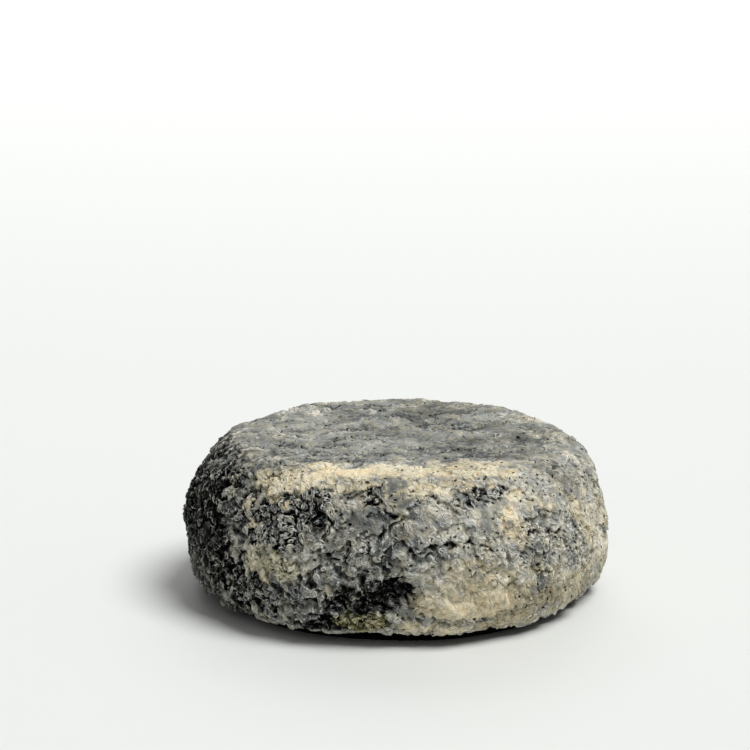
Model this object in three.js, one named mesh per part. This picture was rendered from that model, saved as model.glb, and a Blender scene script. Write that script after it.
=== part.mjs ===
// A small soft-ripened goat cheese: one whole wheel, coated in ash and grown over by a wrinkled rind.
//
// The wheel is one solid. It was ladled into a round mould, turned out and ripened on a mat, so it has a
// flat base that it stands on, sides that have slumped a little and bulge at about a third of the height,
// a rounded shoulder and a nearly flat top. A ripened cheese is never quite round: long swells run round
// it, and shorter swells and dents sit where the curd settled unevenly.
//
// Millimetres, +Z up. The origin is the centre of the base. The front of the wheel faces -Y.

import * as THREE from "three";

// Driving dimensions.
const RADIUS = 47.0; // at the bulge
const HEIGHT = 35.0; // base to the crown of the shoulder
const BULGE_HEIGHT = 11.0; // where the wheel is widest
const BASE_RADIUS = 39.4; // edge of the flat base
const TOP_RADIUS = 34.5; // edge of the nearly flat top
const TOP_SAG = 0.7; // how far the middle of the top has sunk

// Resolution of the faceted solid.
const SEGMENTS = 108; // round the wheel
const BASE_RINGS = 4;
const FOOT_RINGS = 6; // base edge to bulge
const SIDE_RINGS = 14; // bulge to the crown of the shoulder
const TOP_RINGS = 7;

// Long swells that run round the whole wheel: lobes per turn, how far they stand out, and their bearing.
const LOBES = [
  { count: 2, out: 0.35, bearing: 70 },
  { count: 3, out: 0.3, bearing: 20 },
  { count: 5, out: 0.22, bearing: -35 },
  { count: 9, out: 0.14, bearing: 10 },
];

// Local swells (out above 0) and dents (out below 0) in the side. A bearing is in degrees round the wheel,
// 0 at the front and rising to the right; reach is the distance at which the swell has mostly faded.
const SWELLS = [
  { bearing: -88, height: 21, reach: 6, out: 0.9 },
  { bearing: -87, height: 16, reach: 3, out: 1.1 },
  { bearing: -84, height: 9, reach: 4, out: -0.5 },
  { bearing: -62, height: 27, reach: 8, out: 0.5 },
  { bearing: -33, height: 8, reach: 7, out: 0.5 },
  { bearing: -14, height: 21, reach: 9, out: -0.5 },
  { bearing: 4, height: 10, reach: 5, out: -1.5 },
  { bearing: 24, height: 18, reach: 9, out: 0.5 },
  { bearing: 30, height: 3, reach: 8, out: -0.5 },
  { bearing: 55, height: 3, reach: 11, out: -1.1 },
  { bearing: 72, height: 22, reach: 8, out: -0.5 },
  { bearing: 108, height: 12, reach: 9, out: 0.6 },
  { bearing: 141, height: 24, reach: 8, out: -0.9 },
  { bearing: 176, height: 10, reach: 8, out: 0.8 },
  { bearing: -152, height: 20, reach: 9, out: -0.7 },
  { bearing: -119, height: 8, reach: 7, out: 0.6 },
];

// Low swells and dents in the top, by their place on it.
const TOP_SWELLS = [
  { x: -14, y: -20, reach: 12, up: 0.4 },
  { x: 18, y: -12, reach: 11, up: -0.35 },
  { x: -20, y: 14, reach: 12, up: -0.4 },
  { x: 12, y: 20, reach: 10, up: 0.35 },
  { x: 3, y: -33, reach: 6, up: 0.3 },
];

const radians = THREE.MathUtils.degToRad;
const fade = (distance, reach) => Math.exp(-((distance / reach) ** 2));

// The outline from the middle of the base to the middle of the top: (distance from the axis, height).
function outline() {
  const points = [];
  for (let i = 0; i < BASE_RINGS; i += 1) {
    points.push(new THREE.Vector2((BASE_RADIUS * i) / BASE_RINGS, 0));
  }
  const foot = new THREE.EllipseCurve(
    BASE_RADIUS, BULGE_HEIGHT, RADIUS - BASE_RADIUS, BULGE_HEIGHT, -Math.PI / 2, 0,
  );
  points.push(...foot.getPoints(FOOT_RINGS).slice(0, -1));
  const side = new THREE.EllipseCurve(
    TOP_RADIUS, BULGE_HEIGHT, RADIUS - TOP_RADIUS, HEIGHT - BULGE_HEIGHT, 0, Math.PI / 2,
  );
  points.push(...side.getPoints(SIDE_RINGS));
  for (let i = TOP_RINGS - 1; i >= 0; i -= 1) {
    const across = i / TOP_RINGS;
    points.push(new THREE.Vector2(TOP_RADIUS * across, HEIGHT - TOP_SAG * (1 - across ** 2)));
  }
  return points;
}

// How far the side stands out from the plain outline at a bearing (radians) and height.
function sideSwell(bearing, height) {
  let out = 0;
  for (const lobe of LOBES) {
    out += lobe.out * Math.cos(lobe.count * (bearing - radians(lobe.bearing)));
  }
  for (const swell of SWELLS) {
    const turn = Math.abs(bearing - radians(swell.bearing)) % (2 * Math.PI);
    const along = RADIUS * Math.min(turn, 2 * Math.PI - turn);
    out += swell.out * fade(Math.hypot(along, height - swell.height), swell.reach);
  }
  return out;
}

// How far the top stands above the plain outline at a place.
function topSwell(x, y) {
  return TOP_SWELLS.reduce(
    (up, swell) => up + swell.up * fade(Math.hypot(x - swell.x, y - swell.y), swell.reach),
    0,
  );
}

// Moves the vertices of the plain turned wheel to the swollen one. The base stays flat.
function settle(geometry) {
  const position = geometry.getAttribute("position");
  for (let i = 0; i < position.count; i += 1) {
    const x = position.getX(i);
    const y = position.getY(i);
    const z = position.getZ(i);
    const radius = Math.hypot(x, y);
    if (radius < 1e-6) {
      position.setXYZ(i, 0, 0, z > 0 ? z + topSwell(0, 0) : 0);
      continue;
    }
    const bearing = Math.atan2(x, -y);
    const outward = THREE.MathUtils.smoothstep(radius, 0, RADIUS);
    const upward = THREE.MathUtils.smoothstep(z, BULGE_HEIGHT, HEIGHT);
    const wider = 1 + (outward * sideSwell(bearing, z)) / radius;
    position.setXYZ(i, x * wider, y * wider, z + upward * topSwell(x, y));
  }
}

// The wheel as one closed mesh: the outline turned about Z, then settled.
function cheeseWheel() {
  const geometry = new THREE.LatheGeometry(outline(), SEGMENTS);
  geometry.rotateX(Math.PI / 2); // a lathe turns about Y
  settle(geometry);
  geometry.computeBoundingBox();
  const middle = geometry.boundingBox.getCenter(new THREE.Vector3());
  geometry.translate(-middle.x, -middle.y, 0); // the origin is the middle of the base
  geometry.computeVertexNormals();
  const rind = new THREE.MeshStandardMaterial({ color: "#8b8a82", roughness: 0.85, metalness: 0 });
  const wheel = new THREE.Mesh(geometry, rind);
  wheel.name = "cheese_wheel";
  return wheel;
}

const part = new THREE.Group();
part.add(cheeseWheel());

export default part;
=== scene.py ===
"""The looks of a small ash-coated goat cheese: one whole wheel in a wrinkled, moulded rind.

The wheel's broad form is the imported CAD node's. A fine closed mesh is wrapped on that node, and the
rind's folds, curls, gashes and hollows are raised on it. The mesh keeps each growth's values as
attributes, which the rind's material reads.

Sizes are in millimetres, and MM turns them to metres. A place on the side is a bearing in degrees, 0 at
the front and rising to the right, and a height over the base. A place on the top is (x, y).
"""

import logging
import math
from dataclasses import dataclass, fields
from enum import Enum

import bmesh
import bpy
import numpy as np
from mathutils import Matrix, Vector, kdtree, noise
from mathutils.bvhtree import BVHTree

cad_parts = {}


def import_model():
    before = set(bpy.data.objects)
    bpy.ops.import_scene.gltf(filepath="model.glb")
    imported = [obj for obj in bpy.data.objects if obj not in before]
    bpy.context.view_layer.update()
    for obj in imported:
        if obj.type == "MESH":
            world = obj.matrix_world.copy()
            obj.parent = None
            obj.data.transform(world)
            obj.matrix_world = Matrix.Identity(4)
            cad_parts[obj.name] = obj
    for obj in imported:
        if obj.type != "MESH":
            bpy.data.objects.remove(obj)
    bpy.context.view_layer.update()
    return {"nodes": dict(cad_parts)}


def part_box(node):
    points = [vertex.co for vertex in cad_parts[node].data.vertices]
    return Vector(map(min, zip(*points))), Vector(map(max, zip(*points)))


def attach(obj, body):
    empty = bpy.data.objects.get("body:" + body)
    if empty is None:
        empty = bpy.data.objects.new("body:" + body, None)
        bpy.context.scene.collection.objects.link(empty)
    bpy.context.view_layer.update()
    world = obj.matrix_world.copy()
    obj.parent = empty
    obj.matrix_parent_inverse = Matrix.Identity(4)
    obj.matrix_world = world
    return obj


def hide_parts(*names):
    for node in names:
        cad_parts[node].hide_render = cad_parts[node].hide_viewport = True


MM = 0.001
TINY = 1e-9  # keeps a division by a length from failing
FAR = 99.0  # a distance past all those that count, mm
UP = np.array([0.0, 0.0, 1.0])
WHEEL_NODE = "cheese_wheel"
SEED = 11
NOISE_SEED = 7  # where the vector noise is read; it must not be 0, which would take the time

log = logging.getLogger("cheese")


def linear(hex_colour: str) -> tuple[float, float, float, float]:
    """Turns an sRGB hex colour to linear RGBA.

    Args:
        hex_colour: Six hex digits after a hash.

    Returns:
        The linear colour with full alpha.
    """
    channels = [int(hex_colour[i : i + 2], 16) / 255 for i in (1, 3, 5)]
    low = [c / 12.92 for c in channels]
    high = [((c + 0.055) / 1.055) ** 2.4 for c in channels]
    red, green, blue = (a if c <= 0.04045 else b for c, a, b in zip(channels, low, high))
    return red, green, blue, 1.0


def ease(values: np.ndarray, start: float, end: float) -> np.ndarray:
    """Smooth step from 0 at start to 1 at end; start may be the larger."""
    share = np.clip((values - start) / (end - start), 0.0, 1.0)
    return share * share * (3.0 - 2.0 * share)


@dataclass(frozen=True)
class Growth:
    """How one kind of rind looks and stands, each value a channel that a patch paints."""

    tone: float  # 0 bare ash, 1 the thickest white bloom
    bite: float  # how far the fine strands and blotches swing the tone
    warmth: float  # 0 grey bloom, 1 bare cream paste
    stain: float  # 0 plain, 1 apricot, -1 olive yellow
    fold: float  # height of the broad folds, mm
    curl: float  # height of the narrow curls, mm
    speck: float  # share of dark specks


CHANNELS = tuple(f.name for f in fields(Growth))
PAINTED = ("tone", "bite", "warmth", "stain", "speck")  # the channels that the material reads
RAISED = ("crest", "gash")  # what the relief adds for the material: painted highlight on crests, painted shade in furrows and gashes


class Rind(Enum):
    """The kinds of growth on the wheel."""

    BLOOM = Growth(0.80, 0.30, 0.36, 0.0, 0.75, 0.45, 0.34)
    FELT = Growth(0.61, 0.15, 0.18, 0.0, 0.70, 0.08, 0.20)
    PLATES = Growth(0.60, 0.44, 0.18, 0.0, 1.70, 0.05, 0.05)
    CHARCOAL = Growth(-0.34, 1.05, 0.16, 0.0, 1.20, 0.90, 0.05)
    ASHEN = Growth(0.27, 0.60, 0.14, 0.0, 1.00, 0.80, 0.10)
    CURLS = Growth(0.21, 1.40, 0.14, 0.0, 0.80, 1.20, 0.10)
    SLATE = Growth(0.56, 0.44, 0.12, 0.0, 1.60, 0.25, 0.05)
    CREAM = Growth(0.92, 0.28, 1.30, 0.0, 0.80, 0.30, 0.28)
    BEIGE = Growth(0.71, 0.30, 1.05, 0.0, 0.60, 0.40, 0.26)
    APRICOT = Growth(1.00, 0.24, 1.40, 0.35, 0.50, 0.25, 0.08)
    OLIVE = Growth(0.28, 0.90, 1.00, -0.65, 0.80, 0.70, 0.40)
    LEMON = Growth(0.90, 0.95, 0.75, -0.35, 0.80, 0.90, 0.45)
    SOOT = Growth(-0.24, 0.75, 0.10, 0.0, 0.90, 1.00, 0.0)
    SPECKLED = Growth(0.60, 0.60, 0.24, 0.0, 0.80, 0.70, 0.60)
    PEPPERED = Growth(0.52, 0.34, 0.12, 0.0, 0.60, 0.30, 0.80)


@dataclass(frozen=True)
class Side:
    """A place on the side."""

    bearing: float
    height: float


@dataclass(frozen=True)
class Top:
    """A place on the top."""

    x: float
    y: float


@dataclass(frozen=True)
class Patch:
    """One growth's patch: a ragged ellipse on the surface."""

    rind: Rind
    place: Side | Top
    along: float  # half length round the wheel, or along X on the top, mm
    across: float  # half length up the side, or along Y on the top, mm
    tilt: float = 0.0  # degrees that the long way is turned anticlockwise, seen from outside
    strength: float = 1.0


@dataclass(frozen=True)
class Gash:
    """A crack in the rind, with the skin above it curling over as a lip."""

    path: tuple[Side | Top, ...]
    width: float  # mm
    depth: float  # mm
    lip: float  # how far the lip stands proud, mm


@dataclass(frozen=True)
class Swell:
    """A knob (above 0) or hollow (below 0) that stands out of the rind."""

    place: Side | Top
    along: float
    across: float
    out: float
    tilt: float = 0.0


PATCHES = (
    # The left of the wheel: bare ash with grey ridges, and a smoother grey foot.
    Patch(Rind.CHARCOAL, Side(-80, 21), 34, 16),
    Patch(Rind.ASHEN, Side(-72, 6), 24, 7),
    Patch(Rind.ASHEN, Side(-49, 25), 7, 8),
    Patch(Rind.CHARCOAL, Side(-43, 9), 13, 5, strength=0.7),
    Patch(Rind.CURLS, Side(-33, 27.4), 12, 4.4),
    Patch(Rind.CURLS, Side(-34, 22), 7, 3.2),
    Patch(Rind.CURLS, Side(-42, 9), 9, 3.5, strength=0.6),
    Patch(Rind.SOOT, Side(-39, 7), 4, 1.6, 20),
    Patch(Rind.LEMON, Side(-33, 16.3), 10, 3.0, -8),
    Patch(Rind.CREAM, Side(-36, 13.8), 4.5, 1.4, -25, 0.8),
    # The middle: smooth grey skin in folds over blue-grey and a black hollow.
    Patch(Rind.PLATES, Side(-11, 22.5), 12, 7.5),
    Patch(Rind.PLATES, Side(3, 21), 10, 6.5),
    Patch(Rind.SLATE, Side(-22, 9.5), 11, 4.8),
    Patch(Rind.SOOT, Side(-19, 4.3), 9, 1.7),
    Patch(Rind.SLATE, Side(-13, 15.8), 10, 3.0, 8, 0.8),
    Patch(Rind.SOOT, Side(-12, 11.8), 4.5, 2.8, 10),
    Patch(Rind.OLIVE, Side(-7, 5.4), 7, 2.8),
    Patch(Rind.SOOT, Side(-1.5, 12.2), 6.5, 3.6, 22),
    Patch(Rind.BLOOM, Side(9, 17), 8, 3.4, strength=0.6),
    # The right: beige paste under a thin bloom, with specks and apricot stains.
    Patch(Rind.BEIGE, Side(26, 9.5), 17, 6.5),
    Patch(Rind.BEIGE, Side(21, 16), 9, 3.5, strength=0.7),
    Patch(Rind.APRICOT, Side(20, 9), 9, 3.5, strength=0.6),
    Patch(Rind.CREAM, Side(11, 9.6), 4, 1.8, 15),
    Patch(Rind.BLOOM, Side(24, 27), 14, 4),
    Patch(Rind.APRICOT, Side(33, 24.5), 3.2, 4.5, strength=0.8),
    Patch(Rind.SPECKLED, Side(40, 22), 9, 5, strength=0.6),
    Patch(Rind.SPECKLED, Side(40, 11), 3.5, 3.5, strength=0.7),
    Patch(Rind.SPECKLED, Side(56, 16), 5, 10, strength=0.8),
    Patch(Rind.BEIGE, Side(50, 8), 10, 5, strength=0.8),
    Patch(Rind.BEIGE, Side(80, 15), 20, 13, strength=0.45),
    Patch(Rind.CREAM, Side(60, 23), 2.5, 8, 30, 0.6),
    Patch(Rind.CREAM, Side(10, 4.2), 13, 1.3, strength=0.8),
    Patch(Rind.SPECKLED, Side(16, 5.6), 11, 0.9, strength=0.6),
    # The front shoulder: a cream band, ochre behind it, and black tufts breaking through.
    Patch(Rind.CREAM, Side(-31, 33.0), 10, 2.5),
    Patch(Rind.CREAM, Side(-10, 33.0), 12, 2.6),
    Patch(Rind.CREAM, Side(12, 33.4), 13, 2.4),
    Patch(Rind.LEMON, Side(-39, 30.5), 4, 2.0, strength=0.8),
    Patch(Rind.PEPPERED, Side(-15, 32.0), 5, 1.2, 8, 0.8),
    Patch(Rind.SPECKLED, Side(3, 31.5), 4, 1.6, strength=0.6),
    Patch(Rind.SPECKLED, Side(17, 33.4), 8, 1.1, -5, 0.7),
    Patch(Rind.CURLS, Side(-24, 31.0), 4.5, 2.6),
    Patch(Rind.CURLS, Side(-37, 31.5), 3.0, 2.0, -20, 0.7),
    Patch(Rind.SOOT, Side(-22, 27.5), 2.2, 3.2, 15, 0.8),
    Patch(Rind.CURLS, Side(-6.5, 32.0), 2.2, 3.4),
    Patch(Rind.SOOT, Side(-6.5, 33.0), 1.3, 1.5, strength=0.6),
    Patch(Rind.CURLS, Side(25, 31.8), 7, 2.2, 10, 0.9),
    # The top: pale grey bloom, specked, warmer towards the front.
    Patch(Rind.FELT, Top(0, 0), 36, 36),
    Patch(Rind.PEPPERED, Top(-9, -1), 11, 1.5, -7, 0.8),
    Patch(Rind.PEPPERED, Top(14, -3.5), 10, 1.3, 5, 0.7),
    Patch(Rind.PEPPERED, Top(-16, -8.5), 9, 1.6, 6, 0.8),
    Patch(Rind.PEPPERED, Top(6, -9), 13, 1.4, -5, 0.8),
    Patch(Rind.PEPPERED, Top(-8, -16), 15, 1.8, -3, 0.8),
    Patch(Rind.PEPPERED, Top(17, -15), 7, 2.2, 14, 0.8),
    Patch(Rind.PEPPERED, Top(-13, -22.5), 13, 2.4, 2, 0.8),
    Patch(Rind.PEPPERED, Top(-12, 8), 13, 1.5, 9, 0.7),
    Patch(Rind.PEPPERED, Top(13, 10), 8, 2.4, -12, 0.7),
    Patch(Rind.PEPPERED, Top(2, 19), 12, 2.0, 7, 0.7),
    Patch(Rind.PEPPERED, Top(-9, 26), 8, 2.4, -9, 0.7),
    Patch(Rind.CREAM, Top(-2, -31), 26, 5),
    Patch(Rind.APRICOT, Top(-11, -31.5), 9, 2.6),
    Patch(Rind.CREAM, Top(16, -24), 9, 3.5, strength=0.5),
)

GASHES = (
    Gash((Side(3, 21), Side(8, 22), Side(14, 22.8), Side(20, 23.5), Side(25, 21.3)), 0.45, 0.9, 0.35),
    Gash((Side(-10, 12), Side(-4, 14.5), Side(1, 16), Side(5, 16.6)), 0.5, 0.7, 0.7),
    Gash((Side(2, 29.3), Side(2, 26.6)), 0.3, 0.7, 0.1),
    Gash((Side(-4, 31), Side(-2.2, 29.2), Side(0, 28.6)), 0.6, 0.9, 0.2),
    Gash((Side(36, 22.4), Side(38, 23.4), Side(40.5, 23.2)), 0.5, 0.8, 0.2),
    Gash((Side(45, 22.6), Side(47, 21.9), Side(49, 21.8)), 0.6, 0.8, 0.2),
    Gash((Side(-20, 20.2), Side(-17, 18.5), Side(-13, 19.3)), 0.4, 0.7, 0.4),
    Gash((Side(-10, 21), Side(-6, 20.6), Side(-3, 19.6), Side(-1, 20.6)), 0.4, 0.8, 0.5),
    Gash((Side(-32, 11.6), Side(-26, 10.4), Side(-20, 10.8), Side(-15, 9.4)), 0.4, 0.7, 0.4),
    Gash((Side(-30, 7.6), Side(-24, 7.4), Side(-17, 8.2)), 0.4, 0.6, 0.4),
)

# The growths strewn over the back, with how often each comes up, and those that stay small.
STREWN = {
    Rind.CHARCOAL: 3.0,
    Rind.PLATES: 5.0,
    Rind.ASHEN: 3.0,
    Rind.CURLS: 4.0,
    Rind.SLATE: 3.0,
    Rind.CREAM: 3.0,
    Rind.BEIGE: 5.0,
    Rind.OLIVE: 1.0,
    Rind.SPECKLED: 4.0,
    Rind.BLOOM: 5.0,
    Rind.SOOT: 1.0,
    Rind.APRICOT: 1.5,
}
SMALL_GROWTHS = (Rind.SOOT, Rind.OLIVE, Rind.APRICOT)

# Smooth unevenness, each row with its size in mm, how much it counts, and which noise it is.
Wander = tuple[float, float, int]
EDGE_WANDER = ((7.0, 0.55, 1), (2.8, 0.55, 2), (1.2, 0.40, 3))  # of a patch's edge
TONE_WANDER = ((12.0, 0.12, 12), (5.0, 0.12, 13), (2.4, 0.08, 14))
FORM_WANDER = ((14.0, 0.6, 4), (6.0, 0.5, 5))  # of the whole wheel, mm
FOOT_WANDER = ((7.0, 0.8, 6), (2.2, 0.5, 7))  # of the foot's edge, mm

# What the broad folds and the narrow curls are made of, and the level that each is measured from.
FOLD_MIX = {"folds": 1.05, "maze": 0.10, "buds": 0.12, "rims": 0.15}
FOLD_LEVEL = 0.85
CURL_MIX = {"curls": 0.35, "buds": 0.65, "edges": 0.15}
CURL_LEVEL = 0.75

SWELLS = (
    Swell(Side(-1.5, 12.2), 6.5, 2.8, -1.9, 22),
    Swell(Side(-12, 11.5), 3.0, 2.0, -0.8),
    Swell(Side(-88, 17), 3.5, 3.0, 0.5),
    Swell(Side(6.5, 10.6), 3.4, 1.2, 0.9, 18),
    Swell(Side(14, 9.0), 2.6, 1.0, 0.6, -25),
)


@dataclass
class WheelMesh:
    """The closed mesh that carries the rind: an even grid over top and side, and a coarser flat base."""

    top_cells: int = 160
    side_rows: int = 110
    base_cells: int = 40
    base_share: float = 0.95  # the coarse grid's width against the base's
    bulge_height: float = 11.0
    base_radius: float = 39.4
    top_radius: float = 34.5
    relax_rounds: int = 6
    relax_steps: int = 25
    relax_share: float = 0.6  # how much of the way to its neighbours' middle a point slides
    held_height: float = 0.3  # under it the points stay put, mm
    loose_height: float = 2.0  # over it they slide freely, mm
    even_steps: int = 12

    def __post_init__(self) -> None:
        """Reads the wheel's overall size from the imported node."""
        low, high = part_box(WHEEL_NODE)
        self.height = high.z / MM
        self.radius = (high.x - low.x + high.y - low.y) / 4 / MM

    def cut_cube(self) -> bmesh.types.BMesh:
        """Cuts a cube's top and sides into the fine grid and closes them with the coarse base.

        Returns:
            The closed grid, still in the cube's shape, from -1 to 1.
        """
        grid = bmesh.new()
        bmesh.ops.create_cube(grid, size=2.0)
        floor = [f for f in grid.faces if f.normal.z < -0.5]
        bmesh.ops.delete(grid, geom=floor, context="FACES_ONLY")
        upright = [e for e in grid.edges if abs(e.verts[0].co.z - e.verts[1].co.z) > 1.0]
        bmesh.ops.subdivide_edges(grid, edges=upright, cuts=self.side_rows - 1)
        level = [e for e in grid.edges if abs(e.verts[0].co.z - e.verts[1].co.z) < 1e-6]
        bmesh.ops.subdivide_edges(grid, edges=level, cuts=self.top_cells - 1, use_grid_fill=True)
        rim = [e for e in grid.edges if e.is_boundary]
        made = bmesh.ops.create_grid(
            grid, x_segments=self.base_cells, y_segments=self.base_cells, size=self.base_share
        )
        bmesh.ops.translate(grid, verts=made["verts"], vec=(0.0, 0.0, -1.0))
        inside = set(made["verts"])
        inner = [e for e in grid.edges if e.is_boundary and e.verts[0] in inside]
        bmesh.ops.bridge_loops(grid, edges=rim + inner)
        bmesh.ops.recalc_face_normals(grid, faces=grid.faces)
        return grid

    def outline(self) -> np.ndarray:
        """Follows the wheel's outline from the base's edge to the top's.

        Returns:
            Three rows: distance from the axis (mm), height (mm) and share of the way.
        """
        turn = np.linspace(0.0, math.pi / 2, 60)
        foot_out = self.base_radius + (self.radius - self.base_radius) * np.sin(turn)
        foot_up = self.bulge_height * (1.0 - np.cos(turn))
        side_out = self.top_radius + (self.radius - self.top_radius) * np.cos(turn)
        side_up = self.bulge_height + (self.height - self.bulge_height) * np.sin(turn)
        out = np.concatenate([foot_out, side_out[1:]])
        up = np.concatenate([foot_up, side_up[1:]])
        way = np.concatenate([[0.0], np.cumsum(np.hypot(np.diff(out), np.diff(up)))])
        return np.stack([out, up, way / way[-1]])

    def shape(self, grid: bmesh.types.BMesh) -> None:
        """Rounds the cube to the wheel's plain outline.

        Args:
            grid: The cut cube.
        """
        out, up, way = self.outline()
        for vert in grid.verts:
            u, v = (math.sqrt(2.0) * math.sin(math.pi / 4 * c) for c in vert.co.xy)
            x = u * math.sqrt(1.0 - v * v / 2)
            y = v * math.sqrt(1.0 - u * u / 2)
            share = (vert.co.z + 1.0) / 2
            reach = float(np.interp(share, way, out))
            vert.co = Vector((x * reach, y * reach, float(np.interp(share, way, up)))) * MM

    def build(self, node: bpy.types.Object) -> bpy.types.Object:
        """Makes the wheel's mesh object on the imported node's surface.

        Args:
            node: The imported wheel.

        Returns:
            The new object, smooth and without relief.
        """
        grid = self.cut_cube()
        self.shape(grid)
        mesh = bpy.data.meshes.new("rind_wheel")
        grid.to_mesh(mesh)
        grid.free()
        mesh.polygons.foreach_set("use_smooth", [True] * len(mesh.polygons))
        wheel = bpy.data.objects.new("rind_wheel", mesh)
        bpy.context.scene.collection.objects.link(wheel)
        surface = BVHTree.FromObject(node, bpy.context.evaluated_depsgraph_get())
        skin = Surface(mesh)
        loose = ease(skin.points[:, 2], self.held_height, self.loose_height)[:, None]
        for _ in range(self.relax_rounds):
            for _ in range(self.relax_steps):
                shift = skin.average(skin.points) - skin.points
                shift -= skin.normals * np.sum(shift * skin.normals, axis=1)[:, None]
                skin.points += self.relax_share * loose * shift
            wrapped = [surface.find_nearest(Vector(p))[0] for p in (skin.points * MM).tolist()]
            skin.points = np.array(wrapped) / MM
            skin.write()
        skin.points[skin.points[:, 2] < 1e-4, 2] = 0.0
        flat = skin.points[:, 2] == 0.0
        evened = skin.spread(skin.points, self.even_steps)
        skin.points = np.where(flat[:, None], skin.points, evened)
        skin.write()
        return wheel


class Surface:
    """A mesh's points (mm), normals and links as arrays, with the tools that shape fields on it."""

    wander_stride = 7.3  # how far apart the noises of two seeds are read, in noise cells
    warp_stride = 5.1
    crumple_stride = 4.9
    crumple_warp = (1.6, 0.45)  # size and reach of the warp that makes crumples crooked, in their own size
    crumple_tails = (2, 98)  # the percentiles taken as 0 and 1
    maze_gain = 6.0  # how sharply a maze's ridges part from its furrows
    maze_tails = (1, 99)
    leaf_warps = ((1.6, 1.0), (0.5, 0.35))  # size and reach of each warp, in leaf lengths
    leaf_lie = 4.0  # how far the leaves' common lie carries, in leaf lengths
    leaf_level = 0.8  # how much a leaf's own level counts
    leaf_puff = 0.25
    leaf_tip = 0.3  # how much higher a leaf's lower edge lies than its upper
    leaf_tails = (3, 97)
    leaf_ratio = 0.55  # a leaf's width against its length
    leaf_sizes = (0.55, 1.35)  # the smallest and largest leaf against the ordinary one
    leaf_sway = 0.5  # how far a leaf may turn from its neighbours, radians
    leaf_turn = 1.4 * math.pi  # how far the leaves' common lie swings over the surface, radians
    leaf_rim = (0.78, 0.97)  # where a leaf's rim rises, 0 at its middle and 1 at its edge

    def __init__(self, mesh: bpy.types.Mesh) -> None:
        """Reads the mesh."""
        self.mesh = mesh
        links = np.zeros(len(mesh.edges) * 2, np.int32)
        mesh.edges.foreach_get("vertices", links)
        self.start, self.end = links.reshape(-1, 2).T
        self.count = len(mesh.vertices)
        self.degree = np.bincount(links, minlength=self.count)
        places = np.zeros(self.count * 3, np.float32)
        mesh.vertices.foreach_get("co", places)
        self.points = places.reshape(-1, 3).astype(float) / MM
        self.read_normals()

    def read_normals(self) -> None:
        """Takes the vertex normals of the mesh as it is now."""
        normals = np.zeros(self.count * 3, np.float32)
        self.mesh.vertices.foreach_get("normal", normals)
        self.normals = normals.reshape(-1, 3).astype(float)

    def write(self) -> None:
        """Puts the points back in the mesh and takes its new normals."""
        self.mesh.vertices.foreach_set("co", (self.points * MM).astype(np.float32).ravel())
        self.mesh.update()
        self.read_normals()

    def average(self, values: np.ndarray) -> np.ndarray:
        """Takes the mean of each point's neighbours.

        Args:
            values: One value or several a point.

        Returns:
            The means, in the same shape.
        """
        if values.ndim == 2:
            return np.stack([self.average(column) for column in values.T], axis=1)
        total = np.bincount(self.start, values[self.end], self.count)
        total += np.bincount(self.end, values[self.start], self.count)
        return total / self.degree

    def spread(self, values: np.ndarray, steps: int) -> np.ndarray:
        """Blurs values over the surface.

        Args:
            values: One value or several a point.
            steps: How many times each point is mixed with its neighbours.

        Returns:
            The blurred values, in the same shape.
        """
        for _ in range(steps):
            values = 0.5 * values + 0.5 * self.average(values)
        return values

    def gradient(self, values: np.ndarray) -> np.ndarray:
        """Finds which way the values rise fastest.

        Args:
            values: One value a point.

        Returns:
            One direction a point, longer where the rise is steeper.
        """
        link = self.points[self.end] - self.points[self.start]
        rise = (values[self.end] - values[self.start]) / (np.sum(link * link, axis=1) + TINY)
        total = [
            np.bincount(self.start, pull, self.count) + np.bincount(self.end, pull, self.count)
            for pull in (rise[:, None] * link).T
        ]
        return 2.0 * np.stack(total, axis=1) / self.degree[:, None]

    def stock(self, places: np.ndarray) -> kdtree.KDTree:
        """Stocks places so that the nearest to any spot are found fast.

        Args:
            places: One place a row.

        Returns:
            The tree that finds them.
        """
        tree = kdtree.KDTree(len(places))
        for index, place in enumerate(places.tolist()):
            tree.insert(place, index)
        tree.balance()
        return tree

    def read(self, name: str) -> np.ndarray:
        """Reads a stored attribute.

        Args:
            name: The attribute.

        Returns:
            One value a point.
        """
        values = np.zeros(self.count, np.float32)
        self.mesh.attributes[name].data.foreach_get("value", values)
        return values.astype(float)

    def wander(self, size: float, seed: int, points: np.ndarray | None = None) -> np.ndarray:
        """Smooth noise from about -1 to 1.

        Args:
            size: Width of its lumps, mm.
            seed: Which noise.
            points: Where to read it; the surface's own points if left out.

        Returns:
            One value a point.
        """
        where = (self.points if points is None else points) / size + self.wander_stride * seed
        return np.array([noise.noise(p) for p in where.tolist()])

    def warp(self, size: float, reach: float, seed: int) -> np.ndarray:
        """Returns how far smooth noise of that size (mm) carries each point, up to about reach (mm)."""
        where = self.points / size - self.warp_stride * seed
        return reach * np.array([noise.noise_vector(p) for p in where.tolist()])

    def crumple(self, size: float, seed: int) -> np.ndarray:
        """Sharp crooked ridges of several sizes, from 0 in the hollows to 1 on the crests.

        Args:
            size: Spacing of the largest ridges, mm.
            seed: Which noise.

        Returns:
            One value a point.
        """
        warp_size, warp_reach = self.crumple_warp
        bent = self.points + self.warp(warp_size * size, warp_reach * size, seed)
        where = bent / size + self.crumple_stride * seed
        fineness, step, octaves, offset, gain = 0.7, 2.1, 3.0, 0.95, 2.2
        rough = np.array([
            noise.ridged_multi_fractal(p, fineness, step, octaves, offset, gain) for p in where.tolist()
        ])
        low, high = np.percentile(rough, self.crumple_tails)
        return np.clip((rough - low) / (high - low), 0.0, 1.0)

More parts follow.
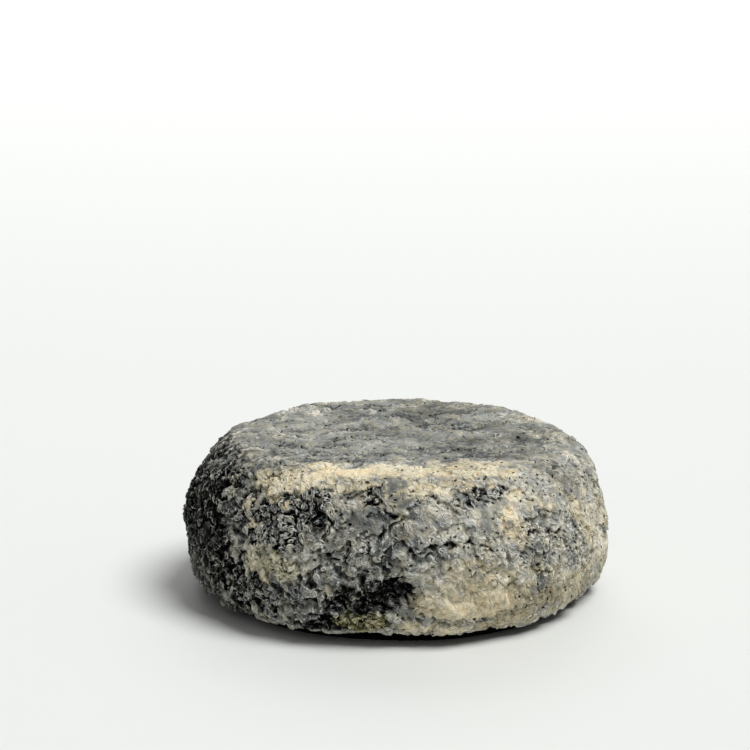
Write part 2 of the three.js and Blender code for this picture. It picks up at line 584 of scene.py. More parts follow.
    def wrinkle(self, inner: int, outer: int, seed: int, rounds: int = 45) -> np.ndarray:
        """Grows a maze of winding ridges, as a skin that grows on soft paste buckles.

        Args:
            inner: Steps of blur that hold a ridge together.
            outer: Further steps of blur that keep its neighbours off; with inner it sets the spacing.
            seed: Which maze.
            rounds: How long it grows.

        Returns:
            A value from 0 in the furrows to 1 on the ridges.
        """
        maze = np.random.default_rng(seed).standard_normal(self.count)
        maze = self.spread(maze, inner)
        for _ in range(rounds):
            near = self.spread(maze, inner)
            far = self.spread(near, outer)
            maze = np.clip(self.maze_gain * (near - far), -1.0, 1.0)
        maze = self.spread(maze, max(1, inner // 2))
        low, high = np.percentile(maze, self.maze_tails)
        return np.clip((maze - low) / (high - low), 0.0, 1.0)

    def leaves(self, reach: float, count: int, seed: int) -> tuple[np.ndarray, np.ndarray]:
        """Lays puffed, ragged leaves of skin over each other, as a dried mould skin lies.

        Args:
            reach: Half length of an ordinary leaf, mm.
            count: How many are laid.
            seed: Which leaves.

        Returns:
            The height of the uppermost leaf at each point, and how close its rim is, both from 0 to 1.
        """
        dice = np.random.default_rng(seed)
        # The leaves are plain ovals in a bent space, so that on the wheel their edges are ragged.
        carried = self.points.copy()
        for step, (warp_size, warp_reach) in enumerate(self.leaf_warps):
            carried += self.warp(warp_size * reach, warp_reach * reach, seed + step)
        stock = self.stock(carried)
        lie = self.leaf_turn * self.wander(self.leaf_lie * reach, seed + len(self.leaf_warps))
        top = np.zeros(self.count)
        rim = np.zeros(self.count)
        for centre in dice.choice(self.count, count).tolist():
            size = reach * dice.uniform(*self.leaf_sizes)
            level = dice.uniform(0.0, 1.0)
            turn = lie[centre] + dice.uniform(-self.leaf_sway, self.leaf_sway)
            near = np.array([hit[1] for hit in stock.find_range(carried[centre], size)])
            offset = carried[near] - carried[centre]
            out = self.normals[centre]
            level_way = np.cross(UP, out) if abs(out[2]) < 0.9 else np.cross(out, (0.0, 1.0, 0.0))
            level_way /= np.linalg.norm(level_way)
            up_way = np.cross(out, level_way)
            long_way = math.cos(turn) * level_way + math.sin(turn) * up_way
            cross_way = np.cross(out, long_way)
            along = offset @ long_way / size
            across = offset @ cross_way / (self.leaf_ratio * size)
            apart = along**2 + across**2
            # A leaf lies at its own level, is puffed in the middle, and is highest at its lower edge.
            puff = self.leaf_level * level + self.leaf_puff * (1.0 - apart**3)
            puff -= self.leaf_tip * (offset @ up_way) / size
            upper = (apart < 1.0) & (puff > top[near])
            top[near[upper]] = puff[upper]
            rim[near[upper]] = ease(apart[upper], *self.leaf_rim)
        low, high = np.percentile(top, self.leaf_tails)
        return np.clip((top - low) / (high - low), 0.0, 1.0), rim


@dataclass
class RindRelief:
    """Paints the growths on the wheel, and raises their relief."""

    wheel: bpy.types.Object
    node: bpy.types.Object
    back_patches: int = 90
    back_bearings: tuple[float, float] = (88.0, 272.0)
    back_heights: tuple[float, float] = (3.0, 33.0)
    back_strength: float = 0.9
    small_patch: tuple[float, float] = (2.5, 5.0)  # least and greatest half length, mm
    large_patch: tuple[float, float] = (5.0, 13.0)
    patch_ratio: tuple[float, float] = (0.35, 0.7)  # a strewn patch's width against its length
    patch_tilt: float = 35.0
    patch_edge: tuple[float, float] = (1.2, 0.8)  # where a patch begins and is full, 1 on its plain edge
    gash_warps: tuple[Wander, ...] = ((2.2, 0.9, 8), (1.0, 0.35, 9))
    gash_width: tuple[float, float] = (0.15, 1.4)  # how narrow and wide a gash runs, against its own width
    lip_away: float = 0.9  # how far from its gash a lip is highest, mm
    lip_spread: float = 0.8
    fold_leaf: float = 2.6  # half length of a leaf of the broad folds, mm
    fold_count: int = 2100
    bud_leaf: float = 1.4  # half length of a leaf of the narrow curls, mm
    bud_count: int = 8000
    fold_maze: tuple[int, int] = (3, 12)  # steps of blur within a ridge, and between ridges
    curl_maze: tuple[int, int] = (1, 5)
    curl_crumple: float = 2.6  # spacing of the crumples among the curls, mm
    crest_rise: float = 0.36  # how far a point stands over its surroundings for a crest of 1, mm
    crest_range: tuple[float, float] = (-2.4, 1.3)
    crest_steps: int = 5
    rim_light: float = 0.8  # how much painted highlight a fold's rim adds to a crest
    edge_light: float = 0.9  # how much painted highlight a curl's edge adds
    furrow_shade: float = 1.4  # painted shade: how much darker furrows are drawn than they are deep
    paste_shade: float = 0.7  # how much of that painted shade bare paste is spared
    flat_height: float = 0.8  # height under which the relief fades to the flat base, mm
    slump_heights: tuple[float, float] = (2.0, 6.0)  # where the slump begins and is full, mm
    fold_slump: float = 0.6
    curl_slump: float = 0.3
    fold_growth: float = 0.5  # how much the folds count towards where mould curls stand
    foot_gap: float = 2.0  # height under which the foot tucks in, mm
    foot_tuck: float = 1.6  # how far it tucks in, mm
    foot_shade: float = 1.2  # the tone that the tucked foot loses: painted shade under the wheel's edge
    foot_reach: tuple[float, float] = (36.0, 41.0)  # distance from the axis where the tuck begins, mm

    def __post_init__(self) -> None:
        """Reads the wheel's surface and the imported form."""
        self.skin = Surface(self.wheel.data)
        self.form = BVHTree.FromObject(self.node, bpy.context.evaluated_depsgraph_get())

    def frame_at(self, place: Side | Top) -> tuple[np.ndarray, np.ndarray]:
        """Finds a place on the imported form.

        Args:
            place: Where it is.

        Returns:
            The point (mm), and a 3x3 array of its directions: round the wheel, up the surface and outwards.
        """
        if isinstance(place, Side):
            bearing = math.radians(place.bearing)
            aim = Vector((math.sin(bearing), -math.cos(bearing), 0.0))
            point, normal, _, _ = self.form.ray_cast(Vector((0.0, 0.0, place.height * MM)), aim)
            round_way = np.array([math.cos(bearing), math.sin(bearing), 0.0])
        else:
            start = Vector((place.x * MM, place.y * MM, 1.0))
            point, normal, _, _ = self.form.ray_cast(start, Vector((0.0, 0.0, -1.0)))
            round_way = np.array([1.0, 0.0, 0.0])
        out = np.array(normal)
        up_way = np.cross(out, round_way)
        return np.array(point) / MM, np.stack([round_way, up_way / np.linalg.norm(up_way), out])

    def closeness(self, shape: Patch | Swell) -> np.ndarray:
        """Measures how far each point is from a shape's middle.

        Args:
            shape: A patch or a swell.

        Returns:
            One distance a point, 1 on the shape's plain edge.
        """
        middle, axes = self.frame_at(shape.place)
        round_way, up_way, out = axes @ (self.skin.points - middle).T
        turn = math.radians(shape.tilt)
        long_way = round_way * math.cos(turn) + up_way * math.sin(turn)
        cross_way = up_way * math.cos(turn) - round_way * math.sin(turn)
        depth = out / max(shape.along, shape.across)
        return np.sqrt((long_way / shape.along) ** 2 + (cross_way / shape.across) ** 2 + depth**2)

    def scattered(self) -> list[Patch]:
        """Strews patches over the back, which has none of its own.

        Returns:
            The patches, in the order they are laid.
        """
        dice = np.random.default_rng(SEED)
        kinds = tuple(STREWN)
        odds = np.array(tuple(STREWN.values()))
        made = []
        for _ in range(self.back_patches):
            kind = kinds[dice.choice(len(kinds), p=odds / odds.sum())]
            size = dice.uniform(*(self.small_patch if kind in SMALL_GROWTHS else self.large_patch))
            place = Side(dice.uniform(*self.back_bearings), dice.uniform(*self.back_heights))
            width = size * dice.uniform(*self.patch_ratio)
            tilt = dice.uniform(-self.patch_tilt, self.patch_tilt)
            made.append(Patch(kind, place, size, width, tilt, self.back_strength))
        return made

    def add_wander(self, rows: tuple[Wander, ...], start: float | np.ndarray) -> np.ndarray:
        """Adds smooth unevenness of several sizes.

        Args:
            rows: Size (mm), how much it counts, and which noise.
            start: What it is added to.

        Returns:
            One value a point.
        """
        return sum((share * self.skin.wander(size, seed) for size, share, seed in rows), start)

    def paint(self) -> dict[str, np.ndarray]:
        """Lays the patches over each other.

        Returns:
            Each channel's value at each point.
        """
        skin = self.skin
        ragged = self.add_wander(EDGE_WANDER, 0.0)
        start = Rind.BLOOM.value
        painted = {name: np.full(skin.count, getattr(start, name)) for name in CHANNELS}
        for patch in (*self.scattered(), *PATCHES):
            cover = patch.strength * ease(self.closeness(patch) + ragged, *self.patch_edge)
            for name in CHANNELS:
                painted[name] += cover * (getattr(patch.rind.value, name) - painted[name])
        painted["tone"] += self.add_wander(TONE_WANDER, 0.0)
        return painted

    def gash_lines(self) -> tuple[np.ndarray, np.ndarray, np.ndarray]:
        """Measures the gashes.

        Returns:
            How deep each point lies in a gash (mm), how far a lip lifts it (mm), and its distance from the
            nearest gash, in gash widths.
        """
        skin = self.skin
        # The cracks run crooked, and open and close along their way.
        shake = sum(skin.warp(size, reach, seed) for size, reach, seed in self.gash_warps)
        uneven = np.clip(0.8 + 1.1 * skin.wander(2.6, 10), *self.gash_width)
        deep = np.zeros(skin.count)
        lifted = np.zeros(skin.count)
        nearest = np.full(skin.count, FAR)
        for gash in GASHES:
            spots = [self.frame_at(place) for place in gash.path]
            distance = np.full(skin.count, FAR)
            above = np.zeros(skin.count)
            for (a, axes), (b, _) in zip(spots, spots[1:]):
                way = b - a
                share = np.clip(((skin.points + shake - a) @ way) / (way @ way), 0.0, 1.0)
                apart = skin.points + shake - (a + share[:, None] * way)
                length = np.linalg.norm(apart, axis=1)
                upper = apart @ np.cross(axes[2], way / np.linalg.norm(way))
                closer = length < distance
                distance = np.where(closer, length, distance)
                above = np.where(closer, upper, above)
            width = gash.width * uneven
            deep += gash.depth * np.exp(-((distance / width) ** 2))
            lifted += gash.lip * np.exp(-((distance - self.lip_away) ** 2) / self.lip_spread) * (above > 0)
            nearest = np.minimum(nearest, distance / width)
        return deep, lifted, nearest

    def grow_layers(self) -> dict[str, np.ndarray]:
        """Grows the layers that the relief is made of, each from 0 to 1.

        Returns:
            The layers by name.
        """
        skin = self.skin
        folds, rims = skin.leaves(self.fold_leaf, self.fold_count, SEED)
        buds, edges = skin.leaves(self.bud_leaf, self.bud_count, SEED + 5)
        maze = skin.wrinkle(*self.fold_maze, SEED) ** 0.5
        curls = 0.6 * skin.wrinkle(*self.curl_maze, SEED + 1) + 0.4 * skin.crumple(self.curl_crumple, 3)
        return {"folds": folds, "rims": rims, "buds": buds, "edges": edges, "maze": maze, "curls": curls}

    def find_crests(
        self, detail: np.ndarray, layers: dict[str, np.ndarray], painted: dict[str, np.ndarray]
    ) -> np.ndarray:
        """Finds how far each point stands out of the rind near it, for painted highlight on crests and
        painted shade in furrows.

        Args:
            detail: The fine relief, mm.
            layers: The layers it is made of.
            painted: The painted channels.

        Returns:
            Above 0 on a crest and below 0 in a furrow, where the painted shade darkens bare paste less than
            bloom.
        """
        proud = (detail - self.skin.spread(detail, self.crest_steps)) / self.crest_rise
        rims = self.rim_light * layers["rims"] * painted["fold"]
        proud += rims + self.edge_light * layers["edges"] * painted["curl"]
        # Painted shade: furrows are drawn darker than they are deep, and bare paste less so.
        shaded = self.furrow_shade - self.paste_shade * np.clip(painted["warmth"], 0.0, 1.0)
        return np.clip(np.where(proud < 0.0, shaded * proud, proud), *self.crest_range)

    def find_foot(self) -> np.ndarray:
        """Returns how far each point is tucked under the foot, from 0 to 1, along an uneven edge."""
        skin = self.skin
        side = ease(np.hypot(skin.points[:, 0], skin.points[:, 1]), *self.foot_reach)
        edge = self.add_wander(FOOT_WANDER, self.foot_gap)
        return side * ease(skin.points[:, 2], edge + 0.2, edge - 0.4)

    def raise_rind(self) -> None:
        """Moves the points out by the rind's relief, and stores what the material reads."""
        skin = self.skin
        painted = self.paint()
        layers = self.grow_layers()
        deep, lifted, nearest = self.gash_lines()
        folded = sum(weight * layers[name] for name, weight in FOLD_MIX.items()) - FOLD_LEVEL
        curled = sum(weight * layers[name] for name, weight in CURL_MIX.items()) - CURL_LEVEL
        lobes = painted["fold"] * folded
        detail = lobes + painted["curl"] * curled + lifted - deep
        crest = self.find_crests(detail, layers, painted)
        relief = self.add_wander(FORM_WANDER, detail)
        for swell in SWELLS:
            relief += swell.out * np.exp(-(self.closeness(swell) ** 2))
        height = skin.points[:, 2]
        under = self.find_foot()
        relief = (relief - under * self.foot_tuck) * ease(height, 0.0, self.flat_height)
        # Folds and lips slump down the side, along the surface.
        slump = skin.normals * skin.normals[:, 2:] - UP
        sag = self.fold_slump * (lobes + lifted) + self.curl_slump * painted["curl"] * layers["curls"]
        skin.points += skin.normals * relief[:, None]
        skin.points += slump * (sag * ease(height, *self.slump_heights))[:, None]
        skin.write()
        # The crest holds the painted highlight on crests and the painted shade in furrows.
        self.store("crest", crest)
        self.store("gash", nearest)
        self.store("growth", painted["curl"] + self.fold_growth * painted["fold"])
        # Painted shade: the tone drops on the tucked foot, for the shade under the wheel's edge.
        painted["tone"] -= self.foot_shade * under
        for name in PAINTED:
            self.store(name, painted[name])

    def store(self, name: str, values: np.ndarray) -> None:
        """Keeps one value a point as an attribute of the mesh."""
        made = self.wheel.data.attributes.new(name, "FLOAT", "POINT")
        made.data.foreach_set("value", values.astype(np.float32))


@dataclass
class MouldCurls:
    """Thin pale ridges of mould that stand on the edges of the rind's leaves where it has grown thickest."""

    wheel: bpy.types.Object
    count: int = 2900
    links: int = 8  # straight lengths in a curl
    link_mm: float = 0.38
    thick_mm: float = 0.16  # half thickness
    tip: float = 0.35  # how thick a curl's ends are, against its middle
    fullness: float = 0.7  # how soon it thickens from its ends; less is sooner
    least_growth: float = 0.75  # the growth under which no curl starts
    least_height: float = 2.8  # the height under which none starts, mm
    sunk: float = 0.2  # how far a curl's middle stands over the rind, in half thicknesses
    paleness: float = 0.6  # how much paler than the crest under it a curl is

    def trace(self, skin: Surface, crest: np.ndarray, starts: np.ndarray) -> np.ndarray:
        """Leads each curl along the crests, at the height where it starts.

        Args:
            skin: The rind's points.
            crest: How far each point stands out of the rind near it.
            starts: Which points the curls start from.

        Returns:
            The curls' points (mm), one row of links + 1 points for each.
        """
        slope = skin.spread(skin.gradient(skin.spread(crest, 1)), 1)
        level_way = np.cross(skin.normals, slope)
        level_way /= np.linalg.norm(level_way, axis=1)[:, None] + TINY
        stock = skin.stock(skin.points)
        spots = skin.points[starts]
        tracks = []
        for _ in range(self.links + 1):
            under = np.array([stock.find(p)[1] for p in spots.tolist()])
            drop = np.sum((spots - skin.points[under]) * skin.normals[under], axis=1)
            spots = spots - drop[:, None] * skin.normals[under]
            tracks.append(spots + self.sunk * self.thick_mm * skin.normals[under])
            spots = spots + self.link_mm * level_way[under]
        return np.stack(tracks, axis=1)

    def build(self) -> bpy.types.Object:
        """Makes the curls as one mesh object of closed tubes that taper at both ends.

        Returns:
            The new object, with the rind's attributes copied on to it.
        """
        mesh = self.wheel.data
        skin = Surface(mesh)
        growth, crest = (skin.read(name) for name in ("growth", "crest"))
        odds = np.clip(growth - self.least_growth, 0.0, None) * np.clip(crest, 0.0, None)
        odds *= skin.points[:, 2] > self.least_height
        starts = np.random.default_rng(SEED).choice(skin.count, self.count, False, odds / odds.sum())
        drawing = bpy.data.curves.new("curl_lines", "CURVE")
        drawing.dimensions = "3D"
        drawing.bevel_depth = self.thick_mm * MM
        drawing.bevel_resolution = 0
        drawing.use_fill_caps = True
        swelling = np.sin(np.linspace(0.0, math.pi, self.links + 1)) ** self.fullness
        taper = self.tip + (1.0 - self.tip) * swelling
        for track in self.trace(skin, crest, starts):
            line = drawing.splines.new("POLY")
            line.points.add(self.links)
            line.points.foreach_set("co", np.column_stack([track * MM, np.ones(len(track))]).ravel())
            line.points.foreach_set("radius", taper)
        holder = bpy.data.objects.new("curl_lines", drawing)
        bpy.context.scene.collection.objects.link(holder)
        placed = holder.evaluated_get(bpy.context.evaluated_depsgraph_get())
        tubes = bpy.data.meshes.new_from_object(placed)
        bpy.data.objects.remove(holder)
        tubes.name = "mould_curls"
        tubes.polygons.foreach_set("use_smooth", [True] * len(tubes.polygons))
        curls = bpy.data.objects.new("mould_curls", tubes)
        bpy.context.scene.collection.objects.link(curls)
        self.copy_attributes(skin, tubes)
        return curls

    def copy_attributes(self, skin: Surface, tubes: bpy.types.Mesh) -> None:
        """Gives the curls what the material reads, from the rind under them.

        Args:
            skin: The rind's points.
            tubes: The curls' mesh.
        """
        stock = skin.stock(skin.points)
        below = np.array([stock.find(vert.co / MM)[1] for vert in tubes.vertices])
        for name in (*PAINTED, *RAISED):
            values = skin.read(name)
            if name == "crest":
                values = np.maximum(values, 0.0) + self.paleness
            made = tubes.attributes.new(name, "FLOAT", "POINT")
            made.data.foreach_set("value", values[below].astype(np.float32))


def add_node(
    tree: bpy.types.NodeTree, kind: str, inputs: dict | None = None, **settings: object
) -> bpy.types.Node:
    """Adds a node.

    Args:
        tree: Where to add it.
        kind: Blender's name of the node type.
        inputs: Each input's value, or the socket that feeds it.
        settings: The node's own properties.

    Returns:
        The new node.
    """
    node = tree.nodes.new(kind)
    for name, value in settings.items():
        setattr(node, name, value)
    for key, value in (inputs or {}).items():
        if isinstance(value, bpy.types.NodeSocket):
            tree.links.new(value, node.inputs[key])
        else:
            node.inputs[key].default_value = value
    return node


Sockets = dict[str, bpy.types.NodeSocket]  # a material's patterns and attributes by name


def scale_for(size_mm: float) -> float:
    """Returns the scale at which a pattern's cells are that many millimetres wide."""
    return 1 / (size_mm * MM)


@dataclass(frozen=True)
class AshRind:
    """Ash-coated goat cheese rind: plant ash under a mould bloom, with bare cream paste where that is thin.

    Bloom is dry felt, so it has no gloss, and it lies palest on the ridges, which also carry a painted
    highlight; the furrows and gashes carry painted shade. Ash is black and a little smoother. Paste shows
    cream through thin bloom, and is stained apricot or olive in places.
    """

    # Shades from bare ash to the thickest bloom, evenly spaced.
    grey: tuple[str, ...] = ("#030303", "#3b3e3e", "#5f6261", "#9b9e9b", "#d1d2cd")
    cream: tuple[str, ...] = ("#080806", "#454338", "#7b7662", "#b6ad92", "#e3dbc3")
    apricot: tuple[str, ...] = ("#0b0804", "#584a31", "#957f58", "#cbb185", "#eed8aa")
    olive: tuple[str, ...] = ("#080903", "#424320", "#767548", "#b2b080", "#dedcb4")
    warp_mm: float = 3.2
    warp_reach_mm: float = 2.8  # how far the warp carries the other patterns
    strand_mm: float = 2.0
    strand_half: float = 0.1  # a strand's half width, in the web noise's own value
    swirl_mm: float = 2.8
    rings: float = 4.0  # laps across the swirl noise's whole range
    web_rings: float = 2.0  # laps that the web noise adds, which break up the plain places
    blotch_mm: float = 2.6
    grain_mm: float = 0.45
    speck_mm: float = 1.25
    speck_rim: tuple[float, float] = (0.16, 0.34)  # where a speck fades out, in cell widths
    crack_rim: tuple[float, float] = (0.5, 1.3)  # where a gash's painted shade fades out, in gash widths
    swing_middle: float = 1.36  # what the swings below come to on average
    # The crest swing paints a highlight on crests and shade in furrows, and the ripple paints shade in its
    # cracks and a highlight on its rims.
    swings: tuple[tuple[str, float], ...] = (
        ("strand", 0.25), ("ripple", 1.1), ("blotch", 1.0), ("grain", 0.5), ("crest", 0.45)
    )
    # The crest mark adds painted highlight and painted shade, and the crack mark is painted shade in the
    # gashes.
    marks: tuple[tuple[str, float], ...] = (("crest", 0.11), ("dot", -0.6), ("crack", -0.5))
    heights: tuple[tuple[str, float], ...] = (
        ("strand", 0.22), ("ripple", 0.46), ("grain", 0.15), ("blotch", 0.5), ("dot", -0.15), ("crack", -0.3)
    )  # mm
    warmth_swing: float = 1.8  # how far the blotches swing the warmth
    soak: float = 0.35  # the most apricot that warm paste takes without a stain
    soak_range: tuple[float, float] = (0.5, 0.7)  # the web noise between which it rises
    ash_roughness: float = 0.42
    bloom_roughness: float = 0.88
    bloom_tone: float = 0.45  # the tone from which the bloom covers the ash

    def weigh(
        self,
        tree: bpy.types.NodeTree,
        parts: Sockets,
        weights: tuple[tuple[str, float], ...],
        start: float | bpy.types.NodeSocket,
    ) -> bpy.types.NodeSocket:
        """Adds weighted parts to a start, one after another.

        Args:
            tree: The material's nodes.
            parts: The patterns and attributes by name.
            weights: Which parts to add, and how much of each.
            start: What they are added to.

        Returns:
            The sum.
        """
        total = start
        for name, weight in weights:
            inputs = {0: parts[name], 1: weight, 2: total}
            total = add_node(tree, "ShaderNodeMath", inputs, operation="MULTIPLY_ADD").outputs[0]
        return total

    def add_noises(self, tree: bpy.types.NodeTree, parts: Sockets) -> None:
        """Adds the soft patterns, and the place that the warp carries them to.

        Args:
            tree: The material's nodes.
            parts: Where each pattern is kept by name.
        """
        place = add_node(tree, "ShaderNodeTexCoord").outputs["Object"]
        inputs = {"Vector": place, "Scale": scale_for(self.warp_mm), "Detail": 2.0}
        drift = add_node(tree, "ShaderNodeTexNoise", inputs).outputs["Color"]
        inputs = {0: drift, 1: (0.5, 0.5, 0.5)}
        centred = add_node(tree, "ShaderNodeVectorMath", inputs, operation="SUBTRACT").outputs[0]
        inputs = {0: centred, 1: (self.warp_reach_mm * MM,) * 3, 2: place}
        carried = add_node(tree, "ShaderNodeVectorMath", inputs, operation="MULTIPLY_ADD").outputs[0]
        for name, where, size_mm, detail, roughness in (
            ("web", carried, self.strand_mm, 1.0, 0.5),
            ("swirl", carried, self.swirl_mm, 1.5, 0.5),
            ("blotch", place, self.blotch_mm, 2.5, 0.6),
            ("grain", carried, self.grain_mm, 2.0, 0.5),
        ):
            inputs = {"Vector": where, "Scale": scale_for(size_mm), "Detail": detail, "Roughness": roughness}
            parts[name] = add_node(tree, "ShaderNodeTexNoise", inputs).outputs["Fac"]
        parts["place"] = carried

    def add_strands(self, tree: bpy.types.NodeTree, parts: Sockets) -> None:
        """Adds single crooked ridges of mould, where the web noise crosses its middle value.

        Args:
            tree: The material's nodes.
            parts: Where the pattern is kept.
        """
        inputs = {0: parts["web"], 1: 0.5}
        off = add_node(tree, "ShaderNodeMath", inputs, operation="SUBTRACT").outputs[0]
        apart = add_node(tree, "ShaderNodeMath", {0: off}, operation="ABSOLUTE").outputs[0]
        inputs = {
            "Value": apart, "From Min": 0.0, "From Max": self.strand_half, "To Min": 1.0, "To Max": 0.0
        }
        strand = add_node(tree, "ShaderNodeMapRange", inputs, interpolation_type="SMOOTHSTEP")
        parts["strand"] = strand.outputs[0]

    def add_ripples(self, tree: bpy.types.NodeTree, parts: Sockets) -> None:
        """Adds thin skins lapped over each other, each from a dark crack to its own pale rim: painted shade
        in the crack and a painted highlight on the rim.

        Args:
            tree: The material's nodes.
            parts: Where the pattern is kept.
        """
        inputs = {0: parts["web"], 1: self.web_rings}
        bent = add_node(tree, "ShaderNodeMath", inputs, operation="MULTIPLY").outputs[0]
        inputs = {0: parts["swirl"], 1: self.rings, 2: bent}
        phase = add_node(tree, "ShaderNodeMath", inputs, operation="MULTIPLY_ADD").outputs[0]
        lap = add_node(tree, "ShaderNodeMath", {0: phase}, operation="FRACT").outputs[0]
        inputs = {"Value": lap, "From Min": 0.0, "From Max": 0.2, "To Min": 0.0, "To Max": 0.45}
        sunk = add_node(tree, "ShaderNodeMapRange", inputs, interpolation_type="SMOOTHSTEP").outputs[0]
        inputs = {"Value": lap, "From Min": 0.76, "From Max": 0.97, "To Min": 0.0, "To Max": 0.55}
        rim = add_node(tree, "ShaderNodeMapRange", inputs, interpolation_type="SMOOTHSTEP").outputs[0]
        parts["ripple"] = add_node(tree, "ShaderNodeMath", {0: sunk, 1: rim}, operation="ADD").outputs[0]

    def add_marks(self, tree: bpy.types.NodeTree, parts: Sockets) -> None:
        """Adds the specks, small round holes where bare ash shows, and the painted shade in the gashes.

        Args:
            tree: The material's nodes.
            parts: Where the patterns are kept.
        """
        inputs = {"Vector": parts["place"], "Scale": scale_for(self.speck_mm), "Randomness": 1.0}
        cells = add_node(tree, "ShaderNodeTexVoronoi", inputs)
        luck = add_node(tree, "ShaderNodeSeparateColor", {"Color": cells.outputs["Color"]}).outputs[0]
        inputs = {0: luck, 1: parts["speck"]}
        there = add_node(tree, "ShaderNodeMath", inputs, operation="LESS_THAN").outputs[0]
        for name, value, (inner, outer) in (
            ("hole", cells.outputs["Distance"], self.speck_rim),
            ("crack", parts["gash"], self.crack_rim),
        ):
            inputs = {"Value": value, "From Min": inner, "From Max": outer, "To Min": 1.0, "To Max": 0.0}
            fade = add_node(tree, "ShaderNodeMapRange", inputs, interpolation_type="SMOOTHSTEP")
            parts[name] = fade.outputs[0]
        inputs = {0: parts["hole"], 1: there}
        parts["dot"] = add_node(tree, "ShaderNodeMath", inputs, operation="MULTIPLY").outputs[0]

    def add_tone(self, tree: bpy.types.NodeTree, parts: Sockets) -> bpy.types.NodeSocket:
        """Adds the tone: what is painted, swung by the patterns as far as the bite lets them.

        Args:
            tree: The material's nodes.
            parts: The patterns and attributes.

        Returns:
            The tone, 0 for bare ash and 1 for the thickest bloom.
        """
        swing = self.weigh(tree, parts, self.swings, -self.swing_middle)
        inputs = {0: swing, 1: parts["bite"], 2: parts["tone"]}
        tone = add_node(tree, "ShaderNodeMath", inputs, operation="MULTIPLY_ADD").outputs[0]
        return self.weigh(tree, parts, self.marks, tone)

    def add_colour(
        self, tree: bpy.types.NodeTree, parts: Sockets, tone: bpy.types.NodeSocket
    ) -> bpy.types.NodeSocket:
        """Adds the colour: grey bloom or cream paste, then apricot and olive stains over them.

        Args:
            tree: The material's nodes.
            parts: The patterns and attributes.
            tone: The tone that picks each shade.

        Returns:
            The colour.
        """
        blotch = add_node(tree, "ShaderNodeMath", {0: parts["blotch"], 1: 0.5}, operation="SUBTRACT")
        inputs = {0: blotch.outputs[0], 1: self.warmth_swing, 2: parts["warmth"]}
        warm = add_node(tree, "ShaderNodeMath", inputs, operation="MULTIPLY_ADD", use_clamp=True)
        low, high = self.soak_range
        inputs = {
            "Value": parts["web"], "From Min": low, "From Max": high, "To Min": 0.0, "To Max": self.soak
        }
        soaked = add_node(tree, "ShaderNodeMapRange", inputs)
        inputs = {0: soaked.outputs[0], 1: parts["warmth"], 2: parts["stain"]}
        yellowed = add_node(tree, "ShaderNodeMath", inputs, operation="MULTIPLY_ADD", use_clamp=True)
        inputs = {0: parts["stain"], 1: -1.0}
        greened = add_node(tree, "ShaderNodeMath", inputs, operation="MULTIPLY", use_clamp=True)
        colour = self.add_ramp(tree, tone, self.grey)
        for share, shades in ((warm, self.cream), (yellowed, self.apricot), (greened, self.olive)):
            inputs = {0: share.outputs[0], 6: colour, 7: self.add_ramp(tree, tone, shades)}
            colour = add_node(tree, "ShaderNodeMix", inputs, data_type="RGBA").outputs[2]
        return colour

    def add_ramp(
        self, tree: bpy.types.NodeTree, tone: bpy.types.NodeSocket, shades: tuple[str, ...]
    ) -> bpy.types.NodeSocket:
        """Adds a ramp of evenly spaced shades.

        Args:
            tree: The material's nodes.
            tone: What picks the shade.
            shades: The shades, from bare ash to the thickest bloom.

        Returns:
            The shade.
        """
        node = add_node(tree, "ShaderNodeValToRGB", {"Fac": tone})
        stops = node.color_ramp.elements
        stops[0].color = linear(shades[0])
        stops[-1].color = linear(shades[-1])
        for index, shade in enumerate(shades[1:-1], 1):
            stops.new(index / (len(shades) - 1)).color = linear(shade)
        return node.outputs[0]

    def build(self) -> bpy.types.Material:
        """Makes the rind's material.

        Returns:
            The material, for the wheel and for its curls.
        """
        material = bpy.data.materials.new("ash_coated_goat_cheese_rind")
        material.use_nodes = True
        tree = material.node_tree
        shader = tree.nodes["Principled BSDF"]
        parts = {
            name: add_node(tree, "ShaderNodeAttribute", attribute_name=name).outputs["Fac"]
            for name in (*PAINTED, *RAISED)
        }
        self.add_noises(tree, parts)
        self.add_strands(tree, parts)
        self.add_ripples(tree, parts)
        self.add_marks(tree, parts)
        tone = self.add_tone(tree, parts)
        tree.links.new(self.add_colour(tree, parts, tone), shader.inputs["Base Color"])
        inputs = {
            "Value": tone, "From Min": 0.0, "From Max": self.bloom_tone,
            "To Min": self.ash_roughness, "To Max": self.bloom_roughness,
        }
        rough = add_node(tree, "ShaderNodeMapRange", inputs)
        tree.links.new(rough.outputs[0], shader.inputs["Roughness"])
        # The bump is full where the growth is rough, and a fifth of that on smooth felt.
        inputs = {"Value": parts["bite"], "From Min": 0.10, "From Max": 0.35, "To Min": 0.2, "To Max": 1.0}
        strength = add_node(tree, "ShaderNodeMapRange", inputs)
        height = self.weigh(tree, parts, self.heights, 0.0)
        inputs = {"Height": height, "Distance": MM, "Strength": strength.outputs[0]}
        bump = add_node(tree, "ShaderNodeBump", inputs)
        tree.links.new(bump.outputs[0], shader.inputs["Normal"])
        shader.inputs["Specular IOR Level"].default_value = 0.02
        shader.inputs["Sheen Weight"].default_value = 0.01
        shader.inputs["Sheen Roughness"].default_value = 0.5
        return material


@dataclass(frozen=True)
class WhiteCard:
    """Matt white card for the sweep: a plain, very pale grey with no gloss to speak of."""

    shade: str = "#dddfdc"
    roughness: float = 0.6

    def build(self) -> bpy.types.Material:
        """Makes the card's material.

        Returns:
            The material.
        """
        card = bpy.data.materials.new("white_card")
        card.use_nodes = True
        shader = card.node_tree.nodes["Principled BSDF"]
        shader.inputs["Base Color"].default_value = linear(self.shade)
        shader.inputs["Roughness"].default_value = self.roughness
        return card


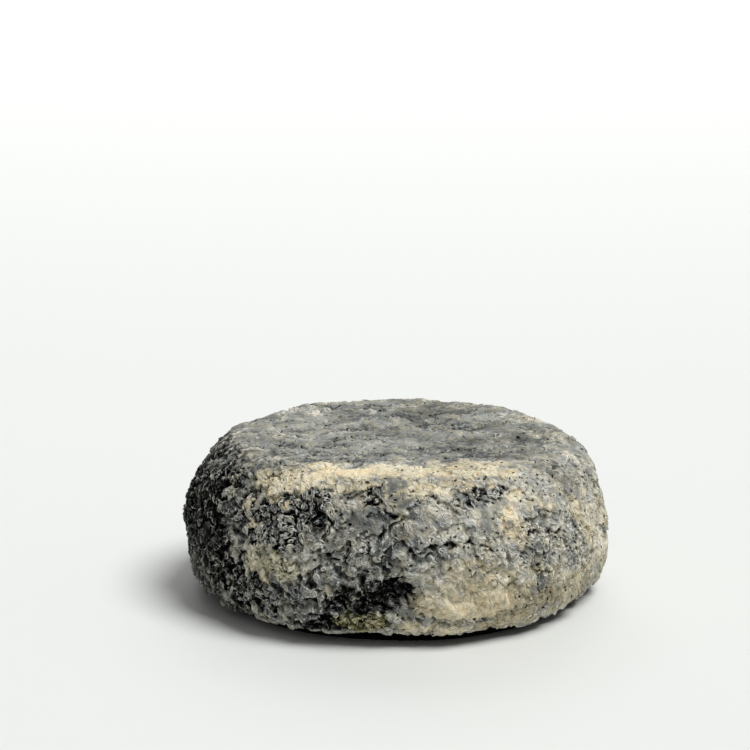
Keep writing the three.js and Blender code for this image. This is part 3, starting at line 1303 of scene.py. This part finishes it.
@dataclass
class Studio:
    """A pale sweep, soft light from above and behind, and the camera."""

    sweep_half: float = 12.0
    sun_from: tuple[float, float, float] = (0.42, -0.14, 0.90)
    sun_spread: float = 32.0  # how wide the softbox looks, degrees
    sun_power: float = 3.0  # watts a square metre
    rear_at: tuple[float, float, float] = (0.0, 1.9, 1.3)
    rear_size: float = 1.8
    rear_power: float = 17.0  # watts
    room_light: float = 0.24
    camera_at: tuple[float, float, float] = (0.0, -0.5765, 0.1814)
    camera_to: tuple[float, float, float] = (-0.0047, 0.0091, 0.0466)
    lens: float = 127.5
    sensor: float = 36.0
    far_limit: float = 20.0

    def build_floor(self) -> None:
        """Lays the pale floor."""
        sheet = bmesh.new()
        bmesh.ops.create_grid(sheet, x_segments=1, y_segments=1, size=self.sweep_half)
        mesh = bpy.data.meshes.new("floor")
        sheet.to_mesh(mesh)
        sheet.free()
        floor = bpy.data.objects.new("floor", mesh)
        bpy.context.scene.collection.objects.link(floor)
        mesh.materials.append(WhiteCard().build())

    def add_soft_sun(self) -> None:
        """Adds a very large, far softbox: even light over the whole floor."""
        light = bpy.data.lights.new("softbox", "SUN")
        light.angle = math.radians(self.sun_spread)
        light.energy = self.sun_power
        box = bpy.data.objects.new("softbox", light)
        box.rotation_euler = Vector(self.sun_from).to_track_quat("Z", "Y").to_euler()
        bpy.context.scene.collection.objects.link(box)

    def add_rear_box(self) -> None:
        """Adds the softbox that whitens the sweep behind the wheel."""
        light = bpy.data.lights.new("rear_box", "AREA")
        light.shape = "SQUARE"
        light.size = self.rear_size
        light.energy = self.rear_power
        box = bpy.data.objects.new("rear_box", light)
        box.location = self.rear_at
        bpy.context.scene.collection.objects.link(box)

    def add_room(self) -> None:
        """Adds the faint even light of a white room."""
        world = bpy.data.worlds.new("white_room")
        world.use_nodes = True
        backdrop = world.node_tree.nodes["Background"]
        backdrop.inputs["Color"].default_value = (1.0, 1.0, 1.0, 1.0)
        backdrop.inputs["Strength"].default_value = self.room_light
        bpy.context.scene.world = world

    def add_camera(self) -> None:
        """Adds the camera and aims it at the wheel."""
        lens = bpy.data.cameras.new("camera")
        lens.lens = self.lens
        lens.sensor_width = self.sensor
        lens.clip_end = self.far_limit
        camera = bpy.data.objects.new("camera", lens)
        camera.location = self.camera_at
        aim = Vector(self.camera_to) - Vector(self.camera_at)
        camera.rotation_euler = aim.to_track_quat("-Z", "Y").to_euler()
        bpy.context.scene.collection.objects.link(camera)
        bpy.context.scene.camera = camera

    def build(self) -> None:
        """Sets up floor, light and camera."""
        self.build_floor()
        self.add_room()
        self.add_soft_sun()
        self.add_rear_box()
        self.add_camera()
        bpy.context.scene.view_settings.view_transform = "Standard"


def main() -> None:
    """Builds the wheel and its studio."""
    logging.basicConfig(level=logging.INFO, format="%(message)s")
    noise.seed_set(NOISE_SEED)
    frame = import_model()
    node = frame["nodes"][WHEEL_NODE]
    wheel = WheelMesh().build(node)
    RindRelief(wheel, node).raise_rind()
    curls = MouldCurls(wheel).build()
    finish = AshRind().build()
    for piece in (wheel, curls):
        piece.data.materials.append(finish)
        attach(piece, "root")
        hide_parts(WHEEL_NODE)
        log.info("%s: %d points", piece.name, len(piece.data.vertices))
    Studio().build()


if __name__ == "__main__":
    main()
